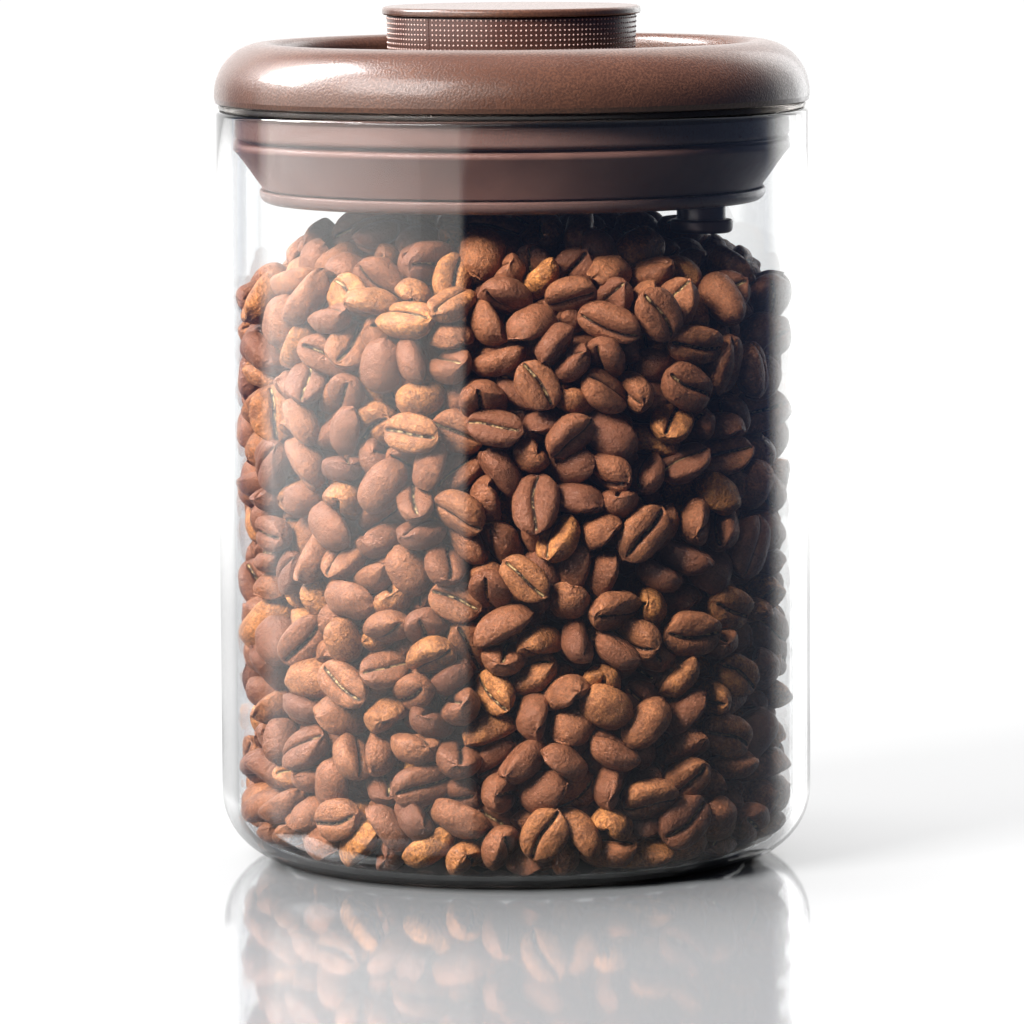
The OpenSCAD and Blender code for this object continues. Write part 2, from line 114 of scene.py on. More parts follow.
def arc(cx, cz, r, a0, a1, steps=10, rz=None):
    """Points on an arc, or on an oval where rz differs from r, from angle a0 to a1 in degrees."""
    rz = r if rz is None else rz
    angles = [math.radians(a0 + (a1 - a0) * i / steps) for i in range(steps + 1)]
    return [(cx + r * math.cos(a), cz + rz * math.sin(a)) for a in angles]


def outline(corners, steps=5):
    """A closed profile from (radius, height) corners. A third number rounds the corner by that radius."""
    points = []
    count = len(corners)
    for i, corner in enumerate(corners):
        here = Vector(corner[:2])
        if len(corner) < 3:
            points.append(tuple(here))
            continue
        before = Vector(corners[i - 1][:2]) - here
        after = Vector(corners[(i + 1) % count][:2]) - here
        half = before.angle(after) / 2
        reach = min(corner[2] / math.tan(half), 0.49 * before.length, 0.49 * after.length)
        radius = reach * math.tan(half)
        before.normalize()
        after.normalize()
        middle = here + (before + after).normalized() * radius / math.sin(half)
        start = here + before * reach - middle
        turn = start.angle_signed(here + after * reach - middle)
        for k in range(steps + 1):
            a = -turn * k / steps
            points.append((
                middle.x + start.x * math.cos(a) - start.y * math.sin(a),
                middle.y + start.x * math.sin(a) + start.y * math.cos(a),
            ))
    return points


# ---------------------------------------------------------------- meshes

def finish_mesh(obj, sharp=32):
    """Outward normals, and smooth shading that breaks at edges sharper than so many degrees."""
    bm = bmesh.new()
    bm.from_mesh(obj.data)
    bmesh.ops.remove_doubles(bm, verts=bm.verts, dist=1e-7)
    bmesh.ops.recalc_face_normals(bm, faces=bm.faces)
    bm.to_mesh(obj.data)
    bm.free()
    obj.data.shade_smooth()
    obj.data.set_sharp_from_angle(angle=math.radians(sharp))
    return obj


def mesh_object(name, points, faces):
    """A new object from points in metres."""
    data = bpy.data.meshes.new(name)
    data.from_pydata([tuple(p) for p in points], [], faces)
    obj = bpy.data.objects.new(name, data)
    bpy.context.scene.collection.objects.link(obj)
    return obj


def turned(name, profile, level=RIM, centre=(0.0, 0.0), steps=ROUND_STEPS, sharp=32):
    """A solid turned about a vertical axis from a closed profile of (radius, height) points."""
    points, rings = [], []
    for r, z in profile:
        if r < 1e-4:
            rings.append([len(points)])
            points.append((centre[0] * MM, centre[1] * MM, (z + level) * MM))
            continue
        ring = []
        for k in range(steps):
            a = 2 * math.pi * k / steps
            ring.append(len(points))
            points.append((
                (centre[0] + r * math.cos(a)) * MM,
                (centre[1] + r * math.sin(a)) * MM,
                (z + level) * MM,
            ))
        rings.append(ring)
    faces = []
    for low, high in zip(rings, rings[1:] + rings[:1]):
        if len(low) == 1 and len(high) == 1:
            continue
        for k in range(steps):
            n = (k + 1) % steps
            if len(low) == 1:
                faces.append((low[0], high[k], high[n]))
            elif len(high) == 1:
                faces.append((low[k], high[0], low[n]))
            else:
                faces.append((low[k], high[k], high[n], low[n]))
    return finish_mesh(mesh_object(name, points, faces), sharp)


def cut(obj, cutter):
    """Takes the cutter's shape out of obj and removes the cutter."""
    modifier = obj.modifiers.new("cut", "BOOLEAN")
    modifier.object = cutter
    modifier.operation = "DIFFERENCE"
    modifier.solver = "EXACT"
    bpy.context.view_layer.update()
    evaluated = obj.evaluated_get(bpy.context.evaluated_depsgraph_get())
    data = bpy.data.meshes.new_from_object(evaluated)
    obj.modifiers.clear()
    obj.data = data
    bpy.data.objects.remove(cutter)
    return finish_mesh(obj)


def place(obj, body, slot, material, *nodes):
    """Puts a piece on its CAD body, with its finish, in place of the CAD nodes named."""
    obj.data.materials.clear()
    obj.data.materials.append(material)
    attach(obj, body)
    if nodes:
        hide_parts(*nodes)
    return obj


# ---------------------------------------------------------------- materials

def set_range(node, low, high, out_low, out_high):
    """Sets a Map Range node to turn low..high into out_low..out_high."""
    numbers = {"From Min": low, "From Max": high, "To Min": out_low, "To Max": out_high}
    for key, number in numbers.items():
        node.inputs[key].default_value = number


class Nodes:
    """A material's node tree, with short ways to add the nodes that several finishes share."""

    def __init__(self, name):
        self.material = bpy.data.materials.new(name)
        self.material.use_nodes = True
        self.tree = self.material.node_tree
        self.tree.nodes.clear()
        self.output = self.add("ShaderNodeOutputMaterial")
        self.place = self.add("ShaderNodeTexCoord").outputs["Object"]

    def add(self, kind, **values):
        node = self.tree.nodes.new(kind)
        for key, value in values.items():
            setattr(node, key, value)
        return node

    def link(self, source, target):
        self.tree.links.new(source, target)
        return target

    def shader(self, **values):
        node = self.add("ShaderNodeBsdfPrincipled")
        for key, value in values.items():
            node.inputs[key.replace("_", " ")].default_value = value
        return node

    def noise(self, scale, detail=2.0, roughness=0.5, vector=None):
        node = self.add("ShaderNodeTexNoise")
        node.inputs["Scale"].default_value = scale
        node.inputs["Detail"].default_value = detail
        node.inputs["Roughness"].default_value = roughness
        self.link(vector or self.place, node.inputs["Vector"])
        return node.outputs["Fac"]

    def spread(self, value, low, high, out_low=0.0, out_high=1.0):
        node = self.add("ShaderNodeMapRange", clamp=True)
        self.link(value, node.inputs["Value"])
        set_range(node, low, high, out_low, out_high)
        return node.outputs["Result"]

    def blend(self, factor, first, second):
        node = self.add("ShaderNodeMix", data_type="RGBA")
        self.link(factor, node.inputs["Factor"])
        for socket, colour in ((node.inputs[6], first), (node.inputs[7], second)):
            if isinstance(colour, tuple):
                socket.default_value = (*colour, 1.0)
            else:
                self.link(colour, socket)
        return node.outputs[2]

    def bump(self, height, depth_mm, strength=1.0, normal=None):
        node = self.add("ShaderNodeBump")
        node.inputs["Strength"].default_value = strength
        node.inputs["Distance"].default_value = depth_mm * MM
        self.link(height, node.inputs["Height"])
        if normal:
            self.link(normal, node.inputs["Normal"])
        return node.outputs["Normal"]

    def done(self, shader):
        self.link(shader, self.output.inputs["Surface"])
        return self.material


def grained_plastic(name, dark, light, gloss, grain_mm, depth_mm, tip=None, **values):
    """Moulded plastic: a soft drift of colour, gloss that varies a little and a fine pebble grain.

    A mesh with the highlight attribute takes a paler colour there: a painted highlight on the knob band's
    dots.
    """
    n = Nodes(name)
    shader = n.shader(**values)
    drift = n.spread(n.noise(90.0, 3.0), 0.35, 0.65)
    colour = n.blend(drift, dark, light)
    grain = n.noise(1.0 / (grain_mm * MM), 1.0, 0.4)
    in_the_grain = 0.72
    colour = n.blend(n.spread(grain, 0.62, 0.4), colour, tuple(in_the_grain * value for value in dark))
    # painted highlight: the dots take a paler colour where the mesh carries the attribute
    if tip:
        colour = n.blend(n.add("ShaderNodeAttribute", attribute_name="tip").outputs["Fac"], colour, tip)
    n.link(colour, shader.inputs["Base Color"])
    n.link(n.spread(grain, 0.35, 0.65, gloss[1], gloss[0]), shader.inputs["Roughness"])
    n.link(n.bump(grain, depth_mm), shader.inputs["Normal"])
    return n.done(shader.outputs[0])


def soft_rubber(name, dark, light, gloss, **values):
    """Silicone: even colour with a little cloud, and a smooth skin with faint waves."""
    n = Nodes(name)
    shader = n.shader(**values)
    cloud = n.spread(n.noise(140.0, 3.0), 0.3, 0.7)
    n.link(n.blend(cloud, dark, light), shader.inputs["Base Color"])
    n.link(n.spread(n.noise(420.0, 2.0), 0.3, 0.7, *gloss), shader.inputs["Roughness"])
    n.link(n.bump(n.noise(500.0, 2.0), 0.012), shader.inputs["Normal"])
    return n.done(shader.outputs[0])


def let_light_through(n, shader, tint):
    """Lets lamps shine through a clear material without bending their light."""
    clear = n.add("ShaderNodeBsdfTransparent")
    clear.inputs["Color"].default_value = (*tint, 1.0)
    mix = n.add("ShaderNodeMixShader")
    n.link(n.add("ShaderNodeLightPath").outputs["Is Shadow Ray"], mix.inputs["Fac"])
    n.link(shader.outputs[0], mix.inputs[1])
    n.link(clear.outputs[0], mix.inputs[2])
    return mix.outputs[0]


def clear_glass():
    """Pressed glass: almost colourless, with very faint waves in its surface."""
    n = Nodes("clear_glass")
    shader = n.shader(Transmission_Weight=1.0, Roughness=0.0, IOR=1.48)
    tone = n.spread(n.noise(22.0, 1.0), 0.3, 0.7)
    n.link(n.blend(tone, (0.975, 0.985, 0.985), (0.985, 0.99, 0.99)), shader.inputs["Base Color"])
    n.link(n.bump(n.noise(38.0, 1.0), 0.02, 0.35), shader.inputs["Normal"])
    return n.done(let_light_through(n, shader, (0.96, 0.97, 0.97)))


def clear_silicone():
    """The milky gasket under the lid's edge."""
    n = Nodes("clear_silicone")
    shader = n.shader(Transmission_Weight=0.97, Roughness=0.15, IOR=1.1, Specular_IOR_Level=0.3)
    tone = n.spread(n.noise(160.0, 2.0), 0.3, 0.7)
    n.link(n.blend(tone, (0.7, 0.66, 0.62), (0.78, 0.74, 0.7)), shader.inputs["Base Color"])
    n.link(n.bump(n.noise(300.0, 1.0), 0.03), shader.inputs["Normal"])
    return n.done(let_light_through(n, shader, (0.8, 0.79, 0.77)))


def brushed_steel():
    """Steel with turning marks."""
    n = Nodes("steel")
    shader = n.shader(Metallic=1.0)
    marks = n.noise(2600.0, 2.0)
    n.link(n.blend(marks, (0.52, 0.53, 0.55), (0.68, 0.69, 0.71)), shader.inputs["Base Color"])
    n.link(n.spread(marks, 0.3, 0.7, 0.2, 0.36), shader.inputs["Roughness"])
    n.link(n.bump(marks, 0.01), shader.inputs["Normal"])
    return n.done(shader.outputs[0])


def fine_mesh():
    """The woven filter disc: a grid of fine threads."""
    n = Nodes("filter_mesh")
    shader = n.shader(Roughness=0.6)
    weave = n.add("ShaderNodeTexChecker")
    weave.inputs["Scale"].default_value = 2500.0
    n.link(n.place, weave.inputs["Vector"])
    colour = n.blend(weave.outputs["Fac"], (0.2, 0.2, 0.2), (0.42, 0.42, 0.41))
    n.link(colour, shader.inputs["Base Color"])
    n.link(n.bump(weave.outputs["Fac"], 0.06), shader.inputs["Normal"])
    return n.done(shader.outputs[0])


FINISH = {
    "clear_glass": clear_glass(),
    "clear_silicone": clear_silicone(),
    "lid_plastic": grained_plastic(
        "lid_plastic", (0.056, 0.0225, 0.0125), (0.072, 0.0295, 0.016), (0.32, 0.44), 0.45, 0.09,
        IOR=1.5, Coat_Weight=0.45, Coat_Roughness=0.15),
    "band_plastic": grained_plastic(
        "band_plastic", (0.044, 0.018, 0.013), (0.058, 0.024, 0.018), (0.26, 0.34), 0.3, 0.012,
        # the paler colour on the next line is a painted highlight on the dots
        tip=(0.4, 0.27, 0.23), IOR=1.5),
    "plug_plastic": grained_plastic(
        "plug_plastic", (0.13, 0.068, 0.054), (0.156, 0.082, 0.066), (0.26, 0.34), 0.25, 0.006, IOR=1.5),
    "brown_silicone": soft_rubber(
        "brown_silicone", (0.092, 0.043, 0.034), (0.118, 0.056, 0.043), (0.34, 0.44), IOR=1.43),
    "inner_plastic": grained_plastic(
        "inner_plastic", (0.76, 0.75, 0.72), (0.82, 0.81, 0.78), (0.32, 0.42), 0.3, 0.01, IOR=1.49),
    "grey_silicone": soft_rubber(
        "grey_silicone", (0.2, 0.2, 0.2), (0.26, 0.26, 0.25), (0.4, 0.5), IOR=1.43),
    "filter_mesh": fine_mesh(),
    "steel": brushed_steel(),
}


# ---------------------------------------------------------------- jar

def glass_jar():
    """Straight glass wall on a flat base with a round foot, and a fire-polished rim."""
    edge = 0.9
    profile = (
        [(0, 0)]
        + arc(JAR_R - FOOT_ROUND, FOOT_ROUND, FOOT_ROUND, -90, 0, 28)
        + [(JAR_R, z) for z in range(25, 145, 15)]
        + arc(JAR_R - edge, RIM - edge, edge, 0, 90, 8)
        + arc(JAR_INNER_R + edge, RIM - edge, edge, 90, 180, 8)
        + [(JAR_INNER_R, z) for z in range(140, 20, -15)]
        + arc(FOOT_CORNER_R, FOOT_CORNER_Z, FOOT_INNER_ROUND, 0, -90, 24)
        + [(0, JAR_BASE)]
    )
    jar = turned("jar_glass", profile, level=0.0)
    return place(jar, "jar", "clear_glass", FINISH["clear_glass"], "glass_jar")


# ---------------------------------------------------------------- lid

def rim_gasket():
    """Ring of clear silicone with two fine sealing beads on each face, between the glass and the lid."""
    low, high, bead = 0.0, 1.25, 0.1
    profile = (
        [(55.95, high), (55.95, low)]
        + [(56.6, low), (56.7, low + bead), (57.1, low + bead), (57.2, low)]
        + arc(58.8, 0.62, 0.6, -90, 90, 10)
        + [(57.2, high), (57.1, high - bead), (56.7, high - bead), (56.6, high)]
    )
    ring = turned("gasket_ring", profile)
    return place(ring, "lid", "clear_silicone", FINISH["clear_silicone"], "rim_gasket")


def lid_shell():
    """The cover: a fat rounded ring, a thin skirt edge and the sunk deck with its button hole."""
    inner = LID_R - SHELL_T
    profile = (
        [(inner, SKIRT_Z)]
        + arc(LID_R - 0.5, SKIRT_Z + 0.3, 0.3, -90, -20, 4)
        + arc(LID_R - 0.6, SKIRT_Z + 1.2, 0.6, -30, 0, 4)
        + arc(CREST_R, RING_Z, LID_R - CREST_R, 0, 90, 48, rz=CREST_Z - RING_Z)
        + arc(CREST_R, CREST_Z - 2.5, 2.5, 92, 180, 16)
        + arc(RECESS_R - 1.5, RECESS_Z + 1.5, 1.5, 0, -90, 10)
        + [(30.0, RECESS_Z)]
        + outline([
            (COLLAR_R + 6, RECESS_Z), (COLLAR_R, RECESS_Z, 0.3), (COLLAR_R, COLLAR_TOP, 0.3),
            (COLLAR_BORE_R, COLLAR_TOP, 0.3), (COLLAR_BORE_R, DECK_Z, 0.3), (RECESS_R + 1.8, DECK_Z),
        ])
        + arc(CREST_R, RING_Z, LID_R - CREST_R - SHELL_T, 85, 0, 24, rz=CREST_Z - RING_Z - SHELL_T)
    )
    shell = turned("lid_cover", profile)
    hole_r, bevel = BUTTON_R + 0.3, 0.35
    hole = turned("hole", [
        (0, DECK_Z - 2), (hole_r, DECK_Z - 2), (hole_r, RECESS_Z - bevel), (hole_r + bevel, RECESS_Z),
        (hole_r + bevel, RECESS_Z + 0.9), (0, RECESS_Z + 0.9),
    ], centre=VALVE_AT, steps=96)
    cut(shell, hole)
    return place(shell, "lid", "lid_plastic", FINISH["lid_plastic"], "lid_shell")


def plug_body():
    """The carrier's flange, neck and guiding ring, which show through the glass."""
    profile = outline([
        (57.9, 2.95, 0.3), (57.9, 1.3, 0.2), (55.8, 1.3, 0.2), (55.8, -1.0, 0.3), (56.4, -1.6, 0.4),
        (56.4, -5.8, 1.2), (50.0, -5.8, 0.3), (50.0, -16.1, 0.2), (24.2, -16.1), (24.2, -15.6),
        (25.7, -15.6), (25.7, -14.1, 0.3), (47.6, -14.1, 0.8), (47.6, -6.5, 0.6), (53.4, -3.5, 0.6),
        (53.4, 2.95, 0.4),
    ], steps=8)
    carrier = turned("plug_carrier", profile)
    return place(carrier, "lid", "plug_plastic", FINISH["plug_plastic"], "plug_body")


def main_seal():
    """Flexible seal: a flange with a round nose that meets the glass, and a tapered skirt."""
    nose = 0.9
    nose_at = JAR_INNER_R - 0.08 - nose
    profile = (
        outline([(54.6, -5.85, 0.2), (50.05, -5.85, 0.2), (50.05, -8.55, 0.2), (53.9, -8.55, 0.3)])
        + outline([(50.9, -14.3, 0.3), (50.05, -14.3, 0.2), (50.05, -15.8, 0.2), (50.8, -15.8, 0.35)])
        + arc(nose_at, -7.2, nose, -36, 84, 14)
        + arc(54.9, -6.2, 0.3, -90, -180, 4)
    )
    ring = turned("seal_ring", profile)
    return place(ring, "lid", "brown_silicone", FINISH["brown_silicone"], "main_seal")


# ---------------------------------------------------------------- knob

def knob_cap():
    """The knob's top plate with its full-round rim, and the skirt behind the grip band."""
    rim = KNOB_RIM_T / 2
    under = 18.4
    profile = (
        [(0, under), (0, KNOB_TOP - 0.12), (10.0, KNOB_TOP - 0.12), (20.0, KNOB_TOP - 0.06)]
        + [(KNOB_R - rim - 1.6, KNOB_TOP - 0.01)]
        + arc(KNOB_R - rim, KNOB_TOP - rim, rim, 90, 0, 12)
        + arc(KNOB_R - rim / 2, KNOB_TOP - KNOB_RIM_T + rim / 2, rim / 2, 0, -90, 8)
        + outline([
            (KNOB_SKIRT_R, KNOB_TOP - KNOB_RIM_T, 0.2), (KNOB_SKIRT_R, KNOB_SKIRT_Z, 0.3),
            (KNOB_SKIRT_R - 1.5, KNOB_SKIRT_Z, 0.3), (KNOB_SKIRT_R - 1.5, under, 0.5), (10.0, under),
        ])
    )
    cap = turned("knob_top", profile)
    return place(cap, "knob", "lid_plastic", FINISH["lid_plastic"], "knob_cap")


BAND_SURFACE_LOW = BAND_R_LOW - 0.12
BAND_SURFACE_HIGH = BAND_R_HIGH - 0.12
SEAM_ANGLE = math.radians(-131.0)


def grip_band():
    """Sleeve round the knob, covered with small raised dots in rows, with one thin moulding seam."""
    inner = KNOB_SKIRT_R + 0.12
    profile = outline([
        (inner, KNOB_SKIRT_Z, 0.15), (BAND_SURFACE_LOW, KNOB_SKIRT_Z, 0.3),
        (BAND_SURFACE_HIGH, BAND_TOP, 0.3), (inner, BAND_TOP, 0.15),
    ])
    place(turned("knob_band", profile), "knob", "band_plastic", FINISH["band_plastic"], "grip_band")
    place(band_dots(), "knob", "band_plastic", FINISH["band_plastic"])
    place(band_seam(), "knob", "band_plastic", FINISH["band_plastic"])


def add_dot(points, faces, middle, out, side):
    """Adds one domed dot that stands out from the band at middle, as rings of points up to a peak."""
    radius, height, sides = 0.21, 0.13, 8
    levels = [(1.0, -0.03), (0.95, 0.03), (0.72, 0.095), (0.4, height - 0.012)]
    first = len(points)
    for spread, level_height in levels:
        for k in range(sides):
            t = 2 * math.pi * k / sides
            across = (side * math.cos(t) + Vector((0, 0, 1)) * math.sin(t)) * radius * spread
            points.append((middle + across + out * level_height) * MM)
    points.append((middle + out * height) * MM)
    peak = len(points) - 1
    for level in range(len(levels) - 1):
        low, high = first + level * sides, first + (level + 1) * sides
        for k in range(sides):
            n = (k + 1) % sides
            faces.append((low + k, low + n, high + n, high + k))
    last = first + (len(levels) - 1) * sides
    faces += [(last + k, last + (k + 1) % sides, peak) for k in range(sides)]
    faces.append(tuple(first + k for k in reversed(range(sides))))


def band_dots():
    """Rows of dots all round the band, with a gap for the seam."""
    rows, pitch, first_row, seam_gap = 12, 0.99, 0.56, 0.45
    columns = round(2 * math.pi * BAND_SURFACE_LOW / pitch)
    points, faces = [], []
    for row in range(rows):
        z = KNOB_SKIRT_Z + first_row + row * pitch
        share = (z - KNOB_SKIRT_Z) / (BAND_TOP - KNOB_SKIRT_Z)
        r = BAND_SURFACE_LOW + (BAND_SURFACE_HIGH - BAND_SURFACE_LOW) * share
        for column in range(columns):
            a = 2 * math.pi * (column + 0.5) / columns
            if abs((a - SEAM_ANGLE + math.pi) % (2 * math.pi) - math.pi) * r < seam_gap:
                continue
            out = Vector((math.cos(a), math.sin(a), 0.0))
            side = Vector((-math.sin(a), math.cos(a), 0.0))
            add_dot(points, faces, out * r + Vector((0, 0, z + RIM)), out, side)
    dots = finish_mesh(mesh_object("knob_band_dots", points, faces), sharp=60)
    # every dot point carries the painted highlight attribute
    tips = dots.data.attributes.new("tip", "FLOAT", "POINT")
    tips.data.foreach_set("value", [1.0] * len(points))
    return dots


def band_seam():
    """The low ridge that the mould leaves down the band."""
    half, tall, shoulder, root, end_gap = 0.09, 0.1, 0.05, -0.03, 0.3
    direction = Vector((math.cos(SEAM_ANGLE), math.sin(SEAM_ANGLE), 0.0))
    across = Vector((-direction.y, direction.x, 0.0))
    ridge = [
        (-half * 1.6, root), (-half, shoulder), (-half * 0.4, tall),
        (half * 0.4, tall), (half, shoulder), (half * 1.6, root),
    ]
    points = []
    for z, r in ((KNOB_SKIRT_Z + end_gap, BAND_SURFACE_LOW), (BAND_TOP - end_gap, BAND_SURFACE_HIGH)):
        for shift, height in ridge:
            points.append((direction * (r + height) + across * shift + Vector((0, 0, z + RIM))) * MM)
    count = len(ridge)
    faces = [(k, (k + 1) % count, count + (k + 1) % count, count + k) for k in range(count)]
    faces += [tuple(range(count)), tuple(range(2 * count - 1, count - 1, -1))]
    return finish_mesh(mesh_object("knob_band_seam", points, faces), sharp=60)


# ---------------------------------------------------------------- release valve

def release_button():
    """Button with a shallow dish in its top."""
    stem_top, bottom, flange_top, flange_r, edge = 6.5, 2.4, 3.8, 6.6, 0.8
    dish = [(3.6, 0.04), (3.2, 0.16), (2.2, 0.32), (0, 0.4)]
    profile = (
        [(0, stem_top), (STEM_R, stem_top), (STEM_R, bottom), (flange_r, bottom)]
        + [(flange_r, flange_top), (BUTTON_R, flange_top)]
        + arc(BUTTON_R - edge, BUTTON_TOP - edge, edge, 0, 90, 8)
        + [(r, BUTTON_TOP - depth) for r, depth in dish]
    )
    button = turned("button", profile, centre=VALVE_AT, steps=96)
    return place(button, "release", "lid_plastic", FINISH["lid_plastic"], "release_button")


def release_valve():
    """Soft disc under the nozzle, with rounded edges and a fine sealing lip."""
    top, bottom, socket = -21.8, -24.5, 1.85
    profile = (
        [(0, bottom)]
        + arc(5.1, bottom + 1.1, 1.1, -90, 0, 10)
        + arc(5.6, top - 0.6, 0.6, 0, 80, 8)
        + [(5.2, top), (STEM_R, top), (STEM_R, top - socket), (0, top - socket)]
    )
    disc = turned("valve_disc", profile, centre=VALVE_AT, steps=96)
    return place(disc, "release", "brown_silicone", FINISH["brown_silicone"], "release_valve")


def release_spring():
    """Coil spring under the button, with closed end turns, as long as the CAD spring."""
    low, high = (corner.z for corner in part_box("release_spring"))
    coil_r, wire_r, turns, closed = 5.3 * MM, 0.35 * MM, 7, 1
    steps, sides = 32, 12
    pitch = (high - low - 2 * wire_r - 4 * closed * wire_r) / (turns - 2 * closed)
    points, faces = [], []
    for i in range(turns * steps + 1):
        turn = i / steps
        tight = min(turn, closed) + max(turn - (turns - closed), 0)
        z = low + wire_r + tight * 2 * wire_r + (turn - tight) * pitch
        out = Vector((math.cos(2 * math.pi * turn), math.sin(2 * math.pi * turn), 0.0))
        middle = Vector((VALVE_AT[0] * MM, VALVE_AT[1] * MM, z)) + out * coil_r
        for k in range(sides):
            a = 2 * math.pi * k / sides
            points.append(middle + (out * math.cos(a) + Vector((0, 0, 1)) * math.sin(a)) * wire_r)
    for i in range(turns * steps):
        for k in range(sides):
            n = (k + 1) % sides
            faces.append((i * sides + k, i * sides + n, (i + 1) * sides + n, (i + 1) * sides + k))
    faces += [tuple(range(sides)), tuple(range(len(points) - 1, len(points) - 1 - sides, -1))]
    spring = finish_mesh(mesh_object("valve_spring", points, faces), sharp=60)
    place(spring, "lid", "steel", FINISH["steel"], "release_spring")
    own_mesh(spring)


# ---------------------------------------------------------------- contents, not part of the object

BEAN_LONG, BEAN_WIDE, BEAN_DOME, BEAN_FLAT = 5.9, 4.2, 4.0, 1.9
BEAN_BALLS = np.array([(2.9, 0, 0), (-2.9, 0, 0), (0, 1.2, 0), (0, -1.2, 0)])
BALL_R = 2.92
CORE_R, CORE_TOP = 35.0, 107.0
HEAP_TOP, HEAP_EDGE = 131.0, 118.0
BEAN_KINDS = 5
SINK = 0.02


def heap_height(r):
    """How high the beans stand at a distance from the axis: a mound that falls off towards the glass."""
    flat_r = 34.0
    t = np.clip((r - flat_r) / (JAR_INNER_R - flat_r), 0, 1)
    return HEAP_TOP - (HEAP_TOP - HEAP_EDGE) * t * t * (3 - 2 * t)


def turn_matrices(rotations, turns):
    """Turns each 3 x 3 rotation by a small rotation vector, and squares it up again."""
    angle = np.linalg.norm(turns, axis=1)
    axis = turns / np.maximum(angle, 1e-12)[:, None]
    x, y, z = axis.T
    zero = np.zeros_like(x)
    cross = np.stack([zero, -z, y, z, zero, -x, -y, x, zero], axis=1).reshape(-1, 3, 3)
    s, c = np.sin(angle)[:, None, None], np.cos(angle)[:, None, None]
    step = np.eye(3) + s * cross + (1 - c) * (cross @ cross)
    u, _, vt = np.linalg.svd(step @ rotations)
    return u @ vt


def loose_lattice(rng, spacing):
    """Centres, rotations and sizes of beans on a jittered lattice inside the jar, turned at random."""
    half_span, first_level, jitter, outer_r, core_gap = 54.0, 8.2, 2.2, 53.0, 3
    span = np.arange(-half_span, half_span, spacing)
    levels = np.arange(first_level, HEAP_TOP, spacing)
    grid = np.stack(np.meshgrid(span, span, levels, indexing="ij"), axis=-1).reshape(-1, 3)
    grid = grid + rng.uniform(-jitter, jitter, grid.shape)
    r = np.hypot(grid[:, 0], grid[:, 1])
    in_heap = (r < outer_r) & (grid[:, 2] < heap_height(r) - 0.5)
    off_core = (r > CORE_R + core_gap) | (grid[:, 2] > CORE_TOP + core_gap)
    centres = grid[in_heap & off_core]
    u, _, vt = np.linalg.svd(rng.normal(size=(len(centres), 3, 3)))
    rotations = u @ vt
    rotations[np.linalg.det(rotations) < 0] *= -1
    return centres, rotations, rng.uniform(0.88, 1.07, len(centres))


def bean_balls(centres, rotations, sizes):
    """The four balls that stand for each bean: how far they lie from its centre, and where they are."""
    arms = np.einsum("nij,kj->nki", rotations, BEAN_BALLS) * sizes[:, None, None]
    return arms, centres[:, None] + arms


def apart(balls, ball_r, first, second):
    """Moves that take overlapping balls of two beans apart, half of the overlap for each."""
    count, per_bean = balls.shape[:2]
    push = np.zeros_like(balls)
    away = balls[first][:, :, None] - balls[second][:, None]
    distance = np.maximum(np.linalg.norm(away, axis=-1), 1e-6)
    reach = (ball_r[first] + ball_r[second])[:, :, None]
    depth = np.clip(reach - distance, 0, None)
    move = away * (0.5 * depth / distance)[..., None]
    for axis in range(3):
        for side, owner, sign in ((2, first, 1), (1, second, -1)):
            amount = sign * move[..., axis].sum(side)
            index = (owner[:, None] * per_bean + np.arange(per_bean)).ravel()
            total = np.bincount(index, amount.ravel(), count * per_bean)
            push[..., axis] += total.reshape(count, per_bean)
    return push


def inward(balls, ball_r, heave):
    """Moves that keep balls in the glass, off core and valve and under the heap's top, and sink them."""
    wall_gap, base_gap, bury, valve_r, valve_low = 0.15, 0.1, 0.6, 6.4, 24.8
    x, y, z = balls[..., 0], balls[..., 1], balls[..., 2]
    r = np.maximum(np.hypot(x, y), 1e-6)
    wall = np.clip(r - (JAR_INNER_R - wall_gap - ball_r), 0, None)
    core = np.clip(CORE_R + ball_r - r, 0, None) * (z < CORE_TOP)
    radial = core - wall
    lift = np.clip(JAR_BASE + base_gap + ball_r - z, 0, None)
    over_r, under_z = r - FOOT_CORNER_R, FOOT_CORNER_Z - z
    corner = (over_r > 0) & (under_z > 0)
    reach_out = np.maximum(np.hypot(over_r, under_z), 1e-6)
    excess = np.where(corner, np.clip(reach_out - (FOOT_INNER_ROUND - wall_gap - ball_r), 0, None), 0)
    radial = radial - excess * over_r / reach_out
    lift = lift + excess * under_z / reach_out
    lift = lift - np.clip(z - (heap_height(r) + heave[:, None] - ball_r * bury), 0, None) * 0.5
    valve = np.hypot(x - VALVE_AT[0], y - VALVE_AT[1]) < valve_r + ball_r
    lift = lift - np.clip(z - (RIM - valve_low - ball_r), 0, None) * valve
    lift = lift - SINK
    return np.stack([x / r * radial, y / r * radial, lift], axis=-1)


def hold_in_glass(centres, rotations, sizes, ball_r):
    """Moves whole beans in from the wall and up from the base and the foot round."""
    wall_gap, foot_gap = 0.45, 0.4
    balls = bean_balls(centres, rotations, sizes)[1]
    r = np.hypot(balls[..., 0], balls[..., 1])
    out = np.clip(r - (JAR_INNER_R - wall_gap - ball_r), 0, None).max(1)
    centres[:, :2] *= (1 - out / np.hypot(centres[:, 0], centres[:, 1]))[:, None]
    over_r, under_z = r - FOOT_CORNER_R, FOOT_CORNER_Z - balls[..., 2]
    deep = np.where(over_r > 0, np.hypot(over_r, np.clip(under_z, 0, None)), under_z)
    short = np.where(under_z > 0, np.clip(deep - (FOOT_INNER_ROUND - foot_gap - ball_r), 0, None), 0)
    centres[:, 2] += short.max(1)


